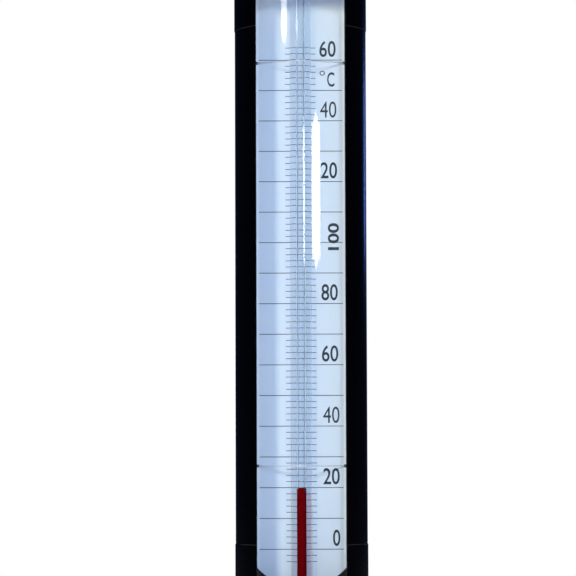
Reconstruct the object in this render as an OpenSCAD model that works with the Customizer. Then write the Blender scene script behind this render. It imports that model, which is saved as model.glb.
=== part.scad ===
// Angle-form industrial glass thermometer: a liquid column behind a long case window,
// with an immersion stem that leaves the case at a right angle.
// Origin: centre of the sealing face. +Y runs into the process along the stem,
// -Y faces the reader, +Z runs up the case. Millimetres.

/* [Scale] */
// Distance on the plate from the zero line to the top numbered line
scale_len = 100; // [70:1:140]
// Temperature at the top numbered line
scale_top_deg = 160; // [100:20:200]
// Degrees from one short line to the next
tick_deg = 2; // [1:1:5]
// Degrees that the short lines run past both ends
overrun_deg = 4; // [0:2:8]
// Temperature that the column shows at rest
reading_deg = 20; // [10:1:150]
// Depth of the filled lines in the plate
line_depth = 0.1; // [0.05:0.01:0.2]
// Width of a long line
long_line_w = 0.16; // [0.1:0.02:0.4]
// Width of a short line
short_line_w = 0.14; // [0.1:0.02:0.4]
// Length of a short line
short_line_len = 6.2; // [5.5:0.1:9]

/* [Glass] */
// Outer diameter of the envelope
glass_od = 20; // [17:0.5:24]
// Wall of the envelope
glass_wall = 0.6; // [0.5:0.05:0.9]
// Outer diameter of the bent glass leg
leg_od = 7; // [6.6:0.1:7.4]
// Wall of the glass leg and of the bulb
leg_wall = 0.6; // [0.4:0.05:0.7]
// Outer diameter of the capillary rod on the scale
capillary_od = 4.3; // [3.6:0.1:4.8]
// Outer diameter of the capillary in the leg
leg_capillary_od = 3; // [2.2:0.1:3.2]
// Bore of the capillary
bore_d = 1.3; // [0.8:0.1:1.4]
// Distance of the capillary in front of the case axis
capillary_off = 1.2; // [1:0.05:1.25]
// Radius of the bend in the glass leg
bend_r = 10; // [9:0.5:13]
// Bore of the expansion chamber
chamber_bore_d = 2.4; // [1.8:0.1:2.8]
// Length of the expansion chamber
chamber_len = 6; // [3:0.5:8]
// Thickness of the scale plate
plate_t = 1; // [0.7:0.1:1.2]
// Length of plate below the zero line
plate_foot = 8.5; // [8:0.5:15]
// Length of plate above the top numbered line
plate_head = 18; // [12:0.5:22]
// Bare plate at each end of a long line
line_margin = 0.5; // [0.2:0.05:1]
// Thickness of the tie wires
wire_d = 0.3; // [0.2:0.05:0.5]
// Distance of the upper tie wire below the top numbered line
upper_wire_drop = 0.6; // [0.5:0.1:1]
// Distance of the lower tie wire above the zero line
lower_wire_rise = 16.9; // [6:0.1:30]
// Length of the bulb
bulb_len = 26; // [18:1:28]

/* [Case] */
// Wall of the case tube
case_wall = 1.9; // [1.5:0.1:3]
// Air round the envelope inside its sockets
glass_gap = 0.35; // [0.3:0.05:1.5]
// Wall of the spigots that enter the tube
spigot_wall = 1.09; // [1:0.01:2]
// Length of the spigots
spigot_len = 9; // [9:0.5:14]
// Radial clearance of the spigots in the tube
spigot_fit = 0.06; // [0.02:0.01:0.1]
// How far each window lip covers the edge of the envelope
lip_cover = 1; // [0.1:0.05:1.5]
// Rise of the arched window ends, square to their slope
window_rise = 2; // [1:0.5:4]
// Slope of the window's upper end face, outwards and up
upper_slope = 18; // [5:1:40]
// Slope of the window's lower end face, outwards and down
lower_slope = 18; // [5:1:40]
// Bevel on the front edges of the window lips
lip_bevel = 0.5; // [0.2:0.1:0.8]
// Height of the lower seam above the zero line
seam_above_zero = 1.4; // [0.5:0.1:3]
// Height of the upper seam above the top numbered line
seam_above_top = 5.4; // [4:0.2:8]
// Inner corners of the window's lower end below the zero line
window_below_zero = 3.4; // [3:0.1:4]
// Inner corners of the window's upper end above the top numbered line
window_above_top = 13.5; // [11:0.5:16]

/* [End fittings] */
// How far the cap and the elbow stand out from the tube
seam_step = 0.1; // [0:0.05:0.4]
// Bevel beside each seam
seam_bevel = 0.25; // [0.1:0.05:0.5]
// Thickness of the cap's top
cap_top_t = 3.5; // [2.5:0.5:6]
// Rounding of the cap's top edge
cap_edge_r = 4; // [2:0.5:6]
// Radius of the cap's domed top
cap_dome_r = 45; // [30:5:90]
// Free height for the pressure spring
spring_h = 4.7; // [4:0.1:8]
// Wire of the pressure spring
spring_wire = 0.9; // [0.6:0.1:1.1]
// Mean radius of the pressure spring
spring_r = 6; // [4:0.5:7.5]
// Turns of the pressure spring
spring_turns = 2; // [2:0.5:3]
// Thickness of the top cushion over the envelope
cushion_top_t = 2; // [1:0.5:4]
// Thickness of the lower cushion under the envelope
cushion_t = 4.5; // [3.5:0.5:8]
// Height from the bend to the floor of the elbow's chamber
leg_rise = 6.5; // [5:0.5:12]
// Room round the glass leg inside the elbow
leg_room = 2.5; // [2.4:0.1:2.8]
// Body left below the neck's root
elbow_foot_t = 0.8; // [0.4:0.2:4]
// Length of the elbow's threaded foot
foot_len = 6; // [4:0.5:10]
// Radius of the elbow's threaded foot
foot_r = 10.8; // [8:0.1:11.5]
// Thickness of the bottom cap's floor
bottom_cap_t = 4; // [3:0.5:6]
// Rounding of the bottom cap's edge
bottom_edge_r = 3; // [1:0.5:4]
// Gap between the two elbow halves
split_gap = 0.08; // [0.02:0.02:0.2]
// Outer diameter of the elbow's neck
neck_od = 18; // [16:0.5:20]
// Length of neck that shows behind the elbow
neck_len = 7.7; // [6:0.1:14]
// Swell of the neck at its root
neck_blend = 2.2; // [1:0.1:3]
// Diameter of the two case screws
screw_d = 3; // [2.5:0.5:4]
// Angle of the case screws from the back
screw_angle = 42; // [30:1:60]

/* [Stem] */
// Length of stem past the sealing face
immersion = 63; // [60:1:160]
// Outer diameter of the stem
stem_od = 10; // [9.4:0.1:12]
// Bore of the stem tube
stem_bore_d = 8; // [7.8:0.1:8.2]
// Outer diameter of the tube's brazed end
stem_seat_d = 9; // [8.8:0.1:9.2]
// Outer diameter of the carrier sleeve
carrier_od = 12; // [11:0.2:13]
// Diameter of the carrier's collar
collar_od = 15; // [14.2:0.2:15.6]
// Length of the carrier's collar
collar_len = 3; // [2:0.5:4]
// Thickness of the stem's end wall
tip_t = 3; // [3:0.5:5]
// Length of the tip's spigot in the tube
tip_spigot = 2; // [1:0.5:3]
// Filling left between the bulb and the tip
filling_end = 4; // [2:0.5:8]

/* [Connection] */
// Width of the hexagon across its flats
hex_af = 27; // [27:0.5:36]
// Length of the hexagon
hex_len = 10; // [8:0.5:16]
// Radial width of the sealing washer and of the shoulder behind it
washer_width = 2.272; // [1.5:0.001:4]
// Radial gap between the sealing washer and the thread
washer_gap = 0.25; // [0.1:0.05:0.4]
// Thickness of the round shoulder
shoulder_t = 3; // [2:0.5:5]
// Thickness of the sealing washer
washer_t = 1.5; // [1:0.1:2.5]
// Outside diameter of the parallel pipe thread, G 1/2
thread_d = 20.956; // [20.956]
// Length from the washer to the end of the thread
thread_reach = 14; // [13:0.5:20]
// Length of the undercut behind the thread
undercut_len = 2.5; // [2:0.1:4]
// Depth of the undercut
undercut_depth = 1.4; // [1:0.1:1.6]
// Bevel at the start of the thread
thread_bevel = 1.5; // [0.8:0.1:2]
// Axial gap between the neck and the turning nipple
swivel_gap = 0.3; // [0.2:0.05:0.5]
// Thickness of the sealing ring behind the collar
carrier_seal_t = 1.5; // [1:0.1:2]

/* [Clearances] */
// Radial clearance of the nipple on the carrier
running_fit = 0.06; // [0.02:0.01:0.09]
// Radial clearance of the liquid in its bore
liquid_fit = 0.05; // [0.02:0.01:0.08]
// Clearance between fixed pieces
seat_gap = 0.05; // [0.02:0.01:0.1]
// Clearance between a cushion and the glass
cushion_gap = 0.3; // [0.1:0.05:0.5]

/* [Hidden] */
$fn = 64;
eps = 0.01;

// Radii that the pieces share
glass_r = glass_od / 2;
glass_ir = glass_r - glass_wall;
leg_r = leg_od / 2;
leg_ir = leg_r - leg_wall;
lip_x = glass_r - lip_cover;
capillary_r = capillary_od / 2;
leg_capillary_r = leg_capillary_od / 2;
bore_r = bore_d / 2;
liquid_r = bore_r - liquid_fit;
chamber_r = glass_r + glass_gap;
spigot_r = chamber_r + spigot_wall;
case_ir = spigot_r + spigot_fit;
case_r = case_ir + case_wall;
fitting_r = case_r + seam_step;
elbow_bore_r = leg_r + leg_room;
neck_r = neck_od / 2;
neck_root_r = neck_r + neck_blend;
neck_root_in = sqrt(pow(fitting_r, 2) - pow(neck_root_r, 2)) - 1;
elbow_drop = neck_root_r + elbow_foot_t;
stem_r = stem_od / 2;
stem_bore_r = stem_bore_d / 2;
stem_seat_r = stem_seat_d / 2;
carrier_r = carrier_od / 2;
collar_r = collar_od / 2;
thread_r = thread_d / 2;
washer_ir = thread_r + washer_gap;
shoulder_r = washer_ir + washer_width;

// Heights above the stem axis
floor_z = bend_r + leg_rise;
shoulder_z = floor_z + cushion_t;
round_r = glass_r - leg_r;
round_z = shoulder_z + round_r;
zero_z = round_z + plate_foot;
deg_mm = scale_len / scale_top_deg;
top_line_z = zero_z + scale_len;
seam_low_z = zero_z + seam_above_zero;
seam_top_z = top_line_z + seam_above_top;
plate_top_z = top_line_z + plate_head;
dome_z = plate_top_z + 2;

// The window's end faces leave the inner wall at its corners, corner_depth in front of the case axis
corner_depth = sqrt(pow(chamber_r, 2) - pow(lip_x, 2));
window_low_z = zero_z - window_below_zero + corner_depth * tan(lower_slope);
window_top_z = top_line_z + window_above_top - corner_depth * tan(upper_slope);
dome_top_z = dome_z + glass_r;
cushion_top_z = dome_top_z + cushion_gap + cushion_top_t;
cap_inner_z = cushion_top_z + spring_h;
cap_top_z = cap_inner_z + cap_top_t;
neck_z = shoulder_z - 1.5;
taper_z = round_z - 3;
saddle_t = 2;
pad_t = 3;
capillary_top_z = plate_top_z + pad_t + 2;
liquid_base_z = round_z + 1;
level_z = zero_z + reading_deg * deg_mm;
head_len = 3;

// Places along the stem
shoulder_y = -washer_t;
hex_front_y = shoulder_y - shoulder_t;
hex_back_y = hex_front_y - hex_len;
neck_end_y = hex_back_y - swivel_gap;
axis_y = neck_end_y - neck_len - fitting_r;
leg_start_y = axis_y + bend_r;
collar_front_y = thread_reach - 2;
collar_back_y = collar_front_y - collar_len;
nipple_seat_y = collar_back_y - carrier_seal_t - swivel_gap;
tube_end_y = immersion - tip_t;
filling_end_y = tube_end_y - tip_spigot - seat_gap;
bulb_end_y = filling_end_y - filling_end;
bulb_start_y = bulb_end_y - bulb_len;

// The scale plate stands across the envelope, just behind the capillary
plate_front = seat_gap + capillary_r - capillary_off;
plate_half_w = sqrt(pow(glass_ir - 0.12, 2) - pow(plate_front + plate_t, 2));
long_line_len = 2 * (plate_half_w - line_margin);
notch_half_w = plate_half_w - wire_d - 2 * seat_gap;
wire_heights = [top_line_z - upper_wire_drop, zero_z + lower_wire_rise];

black = "#16171b";
brass_colour = "#b8954f";
steel_colour = "#a9adb1";
glass_colour = [0.80, 0.90, 0.96, 0.35];
milk_colour = "#dce9f6";
red_colour = "#8c0a10";

// Moves a piece from the row's own axis to the case axis
module on_case() {
    translate([0, axis_y, 0]) children();
}

// Lays a piece that is drawn upright along the stem, its foot at y
module along_stem(y = 0) {
    translate([0, y, 0]) rotate([-90, 0, 0]) children();
}

module ring(r_out, r_in, h) {
    difference() {
        cylinder(r = r_out, h = h);
        translate([0, 0, -1]) cylinder(r = r_in, h = h + 2);
    }
}

// A quarter bend from straight down on the case axis to level along the stem.
// off is how far the bent piece lies outside the middle of the leg.
module quarter_bend(off = 0) {
    translate([0, leg_start_y, bend_r])
        rotate([90, 0, 90])
            rotate([0, 0, 180])
                rotate_extrude(angle = 90)
                    translate([bend_r + off, 0]) children();
}

// A round rod or, with bore over 0, a tube that comes down the case axis,
// turns through the bend and runs on along the stem
module bent_rod(r, top_z, end_y, off = 0, bore = 0) {
    translate([0, axis_y - off, bend_r]) difference() {
        cylinder(r = r, h = top_z - bend_r);
        if (bore > 0) translate([0, 0, -1]) cylinder(r = bore, h = top_z - bend_r + 2);
    }
    quarter_bend(off) difference() {
        circle(r = r);
        if (bore > 0) circle(r = bore);
    }
    translate([0, 0, -off]) along_stem(leg_start_y) difference() {
        cylinder(r = r, h = end_y - leg_start_y);
        if (bore > 0) translate([0, 0, -1]) cylinder(r = bore, h = end_y - leg_start_y + 2);
    }
}

// A disc with a rounded upper edge, for revolving
module rounded_profile(r, h, edge) {
    square([r - edge, h]);
    square([r, h - edge]);
    translate([r - edge, h - edge]) intersection() {
        circle(r = edge);
        square(edge);
    }
}

// The outline of one window end: full width below, a shallow arch on top
module arch_outline(reach) {
    arch_r = (lip_x * lip_x + window_rise * window_rise) / (2 * window_rise);
    centre = sqrt(arch_r * arch_r - lip_x * lip_x);
    translate([0, -centre]) circle(r = arch_r, $fn = 96);
    translate([-arch_r, -reach]) square([2 * arch_r, reach - centre]);
}

// The window: parallel lips between two arched ends that slope outwards
module window_cut() {
    depth = fitting_r + 5;
    reach = window_top_z - window_low_z + 4 * depth;
    intersection() {
        translate([-lip_x, -depth, window_low_z - depth])
            cube([2 * lip_x, depth, reach]);
        translate([0, 0, window_top_z]) rotate([90 - upper_slope, 0, 0])
            linear_extrude(height = 2 * reach, center = true) arch_outline(reach);
        translate([0, 0, window_low_z]) mirror([0, 0, 1]) rotate([90 - lower_slope, 0, 0])
            linear_extrude(height = 2 * reach, center = true) arch_outline(reach);
    }
}

// Points along the two case screws, in the tube's back wall
module at_screws() {
    for (side = [-1, 1])
        on_case()
            translate([0, 0, seam_low_z + spigot_len / 2])
                rotate([0, 0, 90 + side * screw_angle])
                    rotate([0, 90, 0]) children();
}

module case_tube() {
    lip_y = sqrt(pow(case_r, 2) - pow(lip_x, 2));
    bevel_side = lip_bevel * sqrt(2);
    color(black) difference() {
        on_case() difference() {
            translate([0, 0, seam_low_z]) ring(case_r, case_ir, seam_top_z - seam_low_z);
            window_cut();
            for (side = [-1, 1])
                translate([side * lip_x, -lip_y, (seam_low_z + seam_top_z) / 2])
                    rotate([0, 0, 45])
                        cube([bevel_side, bevel_side, 2 * (seam_top_z - seam_low_z)], center = true);
        }
        at_screws() screw_hole();
    }
}

module screw_hole() {
    cylinder(d = screw_d + 2 * seat_gap, h = fitting_r + 2, $fn = 32);
    translate([0, 0, case_r - screw_d / 2]) cylinder(d1 = screw_d, d2 = 3 * screw_d, h = screw_d);
}

module case_screws() {
    color(steel_colour) at_screws() difference() {
        union() {
            translate([0, 0, chamber_r + 0.1]) cylinder(d = screw_d, h = case_r - chamber_r - 1, $fn = 32);
            translate([0, 0, case_r - screw_d / 2 + 2 * seat_gap])
                cylinder(d1 = screw_d, d2 = 2 * screw_d - 8 * seat_gap, h = screw_d / 2 - 4 * seat_gap);
        }
        translate([0, 0, case_r]) cube([0.7, 3 * screw_d, 1.4], center = true);
    }
}

module top_cap() {
    color(black) on_case() difference() {
        union() {
            intersection() {
                translate([0, 0, seam_top_z]) rotate_extrude() difference() {
                    rounded_profile(fitting_r, cap_top_z - seam_top_z, cap_edge_r);
                    translate([fitting_r - seam_bevel, -eps]) polygon([[0, 0], [1, 0], [1, 1 + seam_bevel]]);
                }
                translate([0, 0, cap_top_z - cap_dome_r]) sphere(r = cap_dome_r, $fn = 96);
            }
            translate([0, 0, seam_top_z - spigot_len]) cylinder(r = spigot_r, h = spigot_len + 1);
        }
        translate([0, 0, seam_top_z - spigot_len - 1])
            cylinder(r = chamber_r, h = cap_inner_z - seam_top_z + spigot_len + 1);
        window_cut();
    }
}

module top_cushion() {
    color("#2a2320") on_case() difference() {
        translate([0, 0, dome_z + glass_r / 2])
            cylinder(r = chamber_r - cushion_gap, h = cushion_top_z - dome_z - glass_r / 2);
        translate([0, 0, dome_z]) sphere(r = glass_r + cushion_gap);
    }
}

// The pressure spring is one open coil between the cushion and the cap
function coil_point(a, t) = [
    (spring_r + spring_wire / 2 * cos(t)) * cos(a),
    (spring_r + spring_wire / 2 * cos(t)) * sin(a),
    spring_wire / 2 * sin(t) + (spring_h - spring_wire - 2 * seat_gap) * a / (360 * spring_turns)
];

module pressure_spring() {
    sides = 6;
    rings = 10 * spring_turns;
    points = [for (i = [0 : rings], k = [0 : sides - 1])
        coil_point(360 * spring_turns * i / rings, 360 * k / sides)];
    walls = [for (i = [0 : rings - 1], k = [0 : sides - 1])
        let (a = i * sides, b = (i + 1) * sides, n = (k + 1) % sides)
        each [[a + k, a + n, b + n], [a + k, b + n, b + k]]];
    ends = [[for (k = [sides - 1 : -1 : 0]) k], [for (k = [0 : sides - 1]) rings * sides + k]];
    color(steel_colour)
        on_case()
            translate([0, 0, cushion_top_z + spring_wire / 2 + seat_gap])
                polyhedron(points, concat(walls, ends), convexity = 6);
}

// The elbow before it is split: socket for the envelope, foot and neck
module elbow_block() {
    difference() {
        union() {
            on_case() {
                translate([0, 0, -elbow_drop]) rotate_extrude() difference() {
                    square([fitting_r, seam_low_z + elbow_drop]);
                    translate([fitting_r - seam_bevel, seam_low_z + elbow_drop + eps])
                        polygon([[0, 0], [1, 0], [1, -1 - seam_bevel]]);
                }
                translate([0, 0, seam_low_z - 1]) cylinder(r = spigot_r, h = spigot_len + 1);
                translate([0, 0, -elbow_drop - foot_len]) cylinder(r = foot_r, h = foot_len + 1);
            }
            along_stem(axis_y + neck_root_in) rotate_extrude() neck_profile();
        }
        on_case() {
            translate([0, 0, floor_z]) cylinder(r = chamber_r, h = seam_low_z + spigot_len);
            translate([0, 0, -leg_r - 1]) cylinder(r = elbow_bore_r, h = floor_z + leg_r + 2);
            window_cut();
        }
        along_stem(axis_y) cylinder(r = elbow_bore_r - 0.3, h = bend_r + eps);
        along_stem(leg_start_y) cylinder(r = carrier_r + seat_gap / 2, h = neck_end_y - leg_start_y + 1);
        at_screws() screw_hole();
    }
}

// Half section of the neck: a concave flare at the root, then straight
module neck_profile() {
    flare_len = fitting_r + neck_blend - neck_root_in;
    flare_r = (flare_len * flare_len + neck_blend * neck_blend) / (2 * neck_blend);
    square([neck_r, neck_end_y - axis_y - neck_root_in]);
    difference() {
        square([neck_root_r, flare_len]);
        translate([neck_r + flare_r, flare_len]) circle(r = flare_r, $fn = 192);
    }
}

module elbow_rear() {
    color(black) difference() {
        elbow_block();
        translate([-50, axis_y - 100 + split_gap / 2, -100]) cube([100, 100, 400]);
    }
}

module elbow_front() {
    color(black) difference() {
        elbow_block();
        translate([-50, axis_y - split_gap / 2, -100]) cube([100, 100, 400]);
    }
}

module bottom_cap() {
    height = foot_len + bottom_cap_t;
    color(black) on_case() translate([0, 0, -elbow_drop - seat_gap]) mirror([0, 0, 1]) difference() {
        rotate_extrude() rounded_profile(fitting_r, height, bottom_edge_r);
        translate([0, 0, -1]) cylinder(r = foot_r + seat_gap, h = foot_len + 1 + seat_gap);
        translate([0, 0, height]) cube([2.4, 2 * fitting_r + 2, 4], center = true);
    }
}

module lower_cushion() {
    color("#2a2320") on_case() difference() {
        translate([0, 0, floor_z + seat_gap]) cylinder(r = chamber_r - seat_gap, h = round_z - 2 - floor_z);
        translate([0, 0, -cushion_gap])
            rotate_extrude() envelope_profile(glass_r + cushion_gap, leg_r + cushion_gap, floor_z);
        translate([0, 0, floor_z - 1]) cylinder(r = leg_r + 2 * cushion_gap, h = round_z);
    }
}

// Half section of the envelope's outside or inside, from the neck up to the dome
module envelope_profile(r, neck, base) {
    corner = r - neck;
    translate([0, round_z]) square([r, dome_z - round_z]);
    translate([0, base]) square([neck, round_z - base + eps]);
    translate([neck, round_z]) intersection() {
        circle(r = corner);
        translate([0, -corner]) square([corner, corner + eps]);
    }
    translate([0, dome_z]) intersection() {
        circle(r = r);
        square(r + 1);
    }
}

module glass_envelope() {
    color(glass_colour) on_case() rotate_extrude() difference() {
        envelope_profile(glass_r, leg_r, neck_z);
        envelope_profile(glass_ir, leg_ir, neck_z - 1);
    }
}

module glass_leg() {
    color(glass_colour) bent_rod(leg_r, neck_z, bulb_start_y, 0, leg_ir);
}

module scale_plate() {
    short_count = floor((scale_top_deg + 2 * overrun_deg) / tick_deg);
    color(milk_colour) on_case() difference() {
        translate([-plate_half_w, plate_front, round_z + seat_gap])
            cube([2 * plate_half_w, plate_t, plate_top_z - round_z - seat_gap]);
        for (i = [0 : short_count])
            scale_line(-overrun_deg + i * tick_deg, short_line_len, short_line_w);
        for (t = [0 : 10 : scale_top_deg])
            scale_line(t, long_line_len, long_line_w);
        for (z = wire_heights, side = [-1, 1])
            translate([side * (notch_half_w + wire_d), plate_front + plate_t / 2, z])
                cube([2 * wire_d, 2 * plate_t, 2 * wire_d], center = true);
    }
}

module scale_line(deg, len, w) {
    translate([0, plate_front, zero_z + deg * deg_mm]) cube([len, 2 * line_depth, w], center = true);
}

module plate_saddle() {
    color(glass_colour) on_case() difference() {
        translate([0, 0, round_z - saddle_t]) cylinder(r = leg_ir + 0.85 * (glass_ir - leg_ir), h = saddle_t);
        translate([0, -capillary_off, round_z - saddle_t - 1])
            cylinder(r = capillary_r + 2 * seat_gap, h = saddle_t + 2);
    }
}

module plate_pad() {
    color("#e8e6e0") on_case() difference() {
        translate([0, 0, plate_top_z + seat_gap]) cylinder(r = glass_ir - 0.5, h = pad_t);
        translate([0, -capillary_off, plate_top_z - 1])
            cylinder(r = capillary_r + 2 * seat_gap, h = pad_t + 2);
    }
}

// A wire loop that binds the capillary to the plate
module tie_wire(z) {
    color(steel_colour) on_case() translate([0, 0, z - wire_d / 2])
        linear_extrude(height = wire_d) difference() {
            wire_outline(wire_d + seat_gap);
            wire_outline(seat_gap);
        }
}

module wire_outline(grow) {
    half_w = notch_half_w + grow;
    hull() {
        translate([0, -capillary_off]) circle(r = capillary_r + grow, $fn = 32);
        translate([-half_w, plate_front - grow]) square([2 * half_w, plate_t + 2 * grow]);
    }
}

module upper_tie_wire() {
    tie_wire(wire_heights[0]);
}

module lower_tie_wire() {
    tie_wire(wire_heights[1]);
}

module capillary() {
    cavity_z = capillary_top_z - 3 - chamber_len;
    color(glass_colour) translate([0, axis_y - capillary_off, 0]) difference() {
        union() {
            translate([0, 0, taper_z])
                cylinder(r1 = leg_capillary_r, r2 = capillary_r, h = round_z - taper_z);
            translate([0, 0, round_z]) cylinder(r = capillary_r, h = capillary_top_z - round_z);
            translate([0, 0, capillary_top_z]) sphere(r = capillary_r);
        }
        translate([0, 0, taper_z - 1]) cylinder(r = bore_r, h = cavity_z - taper_z + 1 + eps);
        translate([0, 0, cavity_z]) cylinder(r1 = bore_r, r2 = chamber_bore_d / 2, h = 1.5);
        translate([0, 0, cavity_z + 1.5]) cylinder(d = chamber_bore_d, h = chamber_len - 1.5);
        translate([0, 0, cavity_z + chamber_len]) sphere(d = chamber_bore_d);
    }
}

module leg_capillary() {
    color(glass_colour) bent_rod(leg_capillary_r, taper_z, bulb_start_y, capillary_off, bore_r);
}

module bulb_shape(r, start, finish) {
    along_stem(start) cylinder(r = r, h = finish - start - r);
    translate([0, finish - r, 0]) sphere(r = r);
}

module bulb() {
    color(glass_colour) difference() {
        bulb_shape(leg_r, bulb_start_y, bulb_end_y);
        bulb_shape(leg_ir, bulb_start_y + 1, bulb_end_y - leg_wall);
        translate([0, 0, -capillary_off]) along_stem(bulb_start_y - 1) cylinder(r = bore_r, h = 3);
    }
}

module bulb_liquid() {
    color(red_colour)
        bulb_shape(leg_ir - liquid_fit, bulb_start_y + 1 + liquid_fit, bulb_end_y - leg_wall - liquid_fit);
}

module leg_thread() {
    color(red_colour) bent_rod(liquid_r, liquid_base_z, bulb_start_y + 1, capillary_off);
}

module scale_thread() {
    color(red_colour)
        translate([0, axis_y - capillary_off, liquid_base_z + eps])
            cylinder(r = liquid_r, h = level_z - head_len - liquid_base_z - 2 * eps);
}

module thread_head() {
    color(red_colour)
        translate([0, axis_y - capillary_off, level_z - head_len]) cylinder(r = liquid_r, h = head_len);
}

module heat_filling() {
    color("#8f8d88") difference() {
        along_stem(bulb_start_y + 2)
            cylinder(r = stem_bore_r - seat_gap, h = filling_end_y - bulb_start_y - 2);
        bulb_shape(leg_r + seat_gap, bulb_start_y - 1, bulb_end_y + seat_gap);
    }
}

module stem_carrier() {
    color(brass_colour) difference() {
        union() {
            along_stem(leg_start_y) cylinder(r = carrier_r, h = collar_back_y - leg_start_y + eps);
            along_stem(collar_back_y) cylinder(r = collar_r, h = collar_len);
        }
        along_stem(leg_start_y - 1)
            cylinder(r = stem_seat_r + seat_gap / 2, h = collar_front_y - leg_start_y + 2);
    }
}

module stem_tube() {
    color(steel_colour) difference() {
        union() {
            along_stem(leg_start_y) cylinder(r = stem_seat_r, h = collar_front_y - leg_start_y + eps);
            along_stem(collar_front_y) cylinder(r = stem_r, h = tube_end_y - collar_front_y);
        }
        along_stem(leg_start_y - 1) cylinder(r = stem_bore_r, h = tube_end_y - leg_start_y + 2);
    }
}

module stem_tip() {
    color(steel_colour) along_stem(tube_end_y) rotate_extrude() union() {
        rounded_profile(stem_r, tip_t, min(2.5, tip_t - 0.3));
        translate([0, -tip_spigot]) square([stem_bore_r - seat_gap / 2, tip_spigot + eps]);
    }
}

module carrier_seal() {
    color("#e9e7e2")
        along_stem(collar_back_y - carrier_seal_t)
            ring(collar_r, carrier_r + seat_gap, carrier_seal_t);
}

module swivel_nipple() {
    color(brass_colour) difference() {
        union() {
            along_stem(hex_back_y) intersection() {
                cylinder(d = hex_af / cos(30), h = hex_len, $fn = 6);
                rotate_extrude() hex_bevel_profile();
            }
            along_stem(hex_front_y - eps) cylinder(r = shoulder_r, h = shoulder_t + eps);
            along_stem(shoulder_y - eps)
                cylinder(r = thread_r - undercut_depth, h = washer_t + undercut_len + 2 * eps);
            along_stem(undercut_len) cylinder(r = thread_r, h = thread_reach - thread_bevel - undercut_len);
            along_stem(thread_reach - thread_bevel)
                cylinder(r1 = thread_r, r2 = thread_r - thread_bevel, h = thread_bevel);
        }
        along_stem(hex_back_y - 1) cylinder(r = carrier_r + running_fit, h = thread_reach - hex_back_y + 2);
        along_stem(nipple_seat_y) cylinder(r = collar_r + swivel_gap, h = thread_reach);
    }
}

// Both ends of the hexagon are bevelled at 30 degrees
module hex_bevel_profile() {
    corner = hex_af / 2 / cos(30);
    drop = (corner - hex_af / 2) * tan(30);
    polygon([[0, 0], [hex_af / 2, 0], [corner, drop],
        [corner, hex_len - drop], [hex_af / 2, hex_len], [0, hex_len]]);
}

module sealing_washer() {
    color("#b87548") along_stem(shoulder_y) ring(shoulder_r, washer_ir, washer_t);
}

case_tube();
top_cap();
top_cushion();
pressure_spring();
elbow_rear();
elbow_front();
bottom_cap();
case_screws();
lower_cushion();
glass_envelope();
glass_leg();
scale_plate();
plate_saddle();
plate_pad();
upper_tie_wire();
lower_tie_wire();
capillary();
leg_capillary();
bulb();
bulb_liquid();
leg_thread();
scale_thread();
thread_head();
heat_filling();
stem_carrier();
stem_tube();
stem_tip();
carrier_seal();
swivel_nipple();
sealing_washer();
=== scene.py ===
import math

import bmesh
import bpy
from bpy.props import FloatProperty, FloatVectorProperty, IntProperty, PointerProperty
from mathutils import Euler, Matrix, Vector


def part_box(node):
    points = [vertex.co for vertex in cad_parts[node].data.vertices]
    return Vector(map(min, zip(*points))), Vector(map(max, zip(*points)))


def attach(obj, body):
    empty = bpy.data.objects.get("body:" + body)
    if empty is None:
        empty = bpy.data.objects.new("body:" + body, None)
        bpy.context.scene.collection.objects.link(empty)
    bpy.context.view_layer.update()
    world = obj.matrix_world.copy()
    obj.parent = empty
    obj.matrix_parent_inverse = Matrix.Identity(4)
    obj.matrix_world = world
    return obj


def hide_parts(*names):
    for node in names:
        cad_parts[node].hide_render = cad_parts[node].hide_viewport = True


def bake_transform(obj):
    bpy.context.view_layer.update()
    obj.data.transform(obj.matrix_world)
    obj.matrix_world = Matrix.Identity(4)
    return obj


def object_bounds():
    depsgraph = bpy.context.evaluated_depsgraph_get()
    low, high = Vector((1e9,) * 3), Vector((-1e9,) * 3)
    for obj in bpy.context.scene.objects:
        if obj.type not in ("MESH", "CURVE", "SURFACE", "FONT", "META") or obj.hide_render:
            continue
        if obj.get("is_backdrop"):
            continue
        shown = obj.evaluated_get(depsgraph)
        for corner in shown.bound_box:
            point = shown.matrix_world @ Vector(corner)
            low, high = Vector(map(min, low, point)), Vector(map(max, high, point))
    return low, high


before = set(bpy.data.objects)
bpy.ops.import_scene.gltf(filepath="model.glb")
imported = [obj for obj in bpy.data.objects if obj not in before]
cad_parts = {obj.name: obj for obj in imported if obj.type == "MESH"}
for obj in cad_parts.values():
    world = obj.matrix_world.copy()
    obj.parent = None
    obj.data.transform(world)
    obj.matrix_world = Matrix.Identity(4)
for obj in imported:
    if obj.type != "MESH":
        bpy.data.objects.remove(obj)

bl_info = {
    "name": "Angle thermometer",
    "version": (1, 0, 0),
    "blender": (4, 5, 0),
    "location": "3D View > Sidebar > Thermometer",
    "description": "Finishes an angle thermometer: case, glass, scale, column, nipple and stem",
    "category": "Object",
}

# Shared sizes, in millimetres but for the first

MM = 0.001
CASE_AXIS_Y = -36.0
CAPILLARY_RADIUS = 2.15
NIPPLE_BORE = 6.06
THREAD_CREST = 10.478


# Small helpers for meshes


def piece(name, mesh, body, material, stands_for=()):
    """Puts a finished mesh in the scene, riding on its body."""
    made = bpy.data.objects.new(name, mesh)
    bpy.context.scene.collection.objects.link(made)
    mesh.materials.clear()
    mesh.materials.append(material)
    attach(made, body)
    if stands_for:
        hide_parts(*stands_for)
    return made


def paint(node, material):
    """Gives a node of the frame its finish."""
    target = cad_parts[node]
    target.data.materials.clear()
    target.data.materials.append(material)


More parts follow.
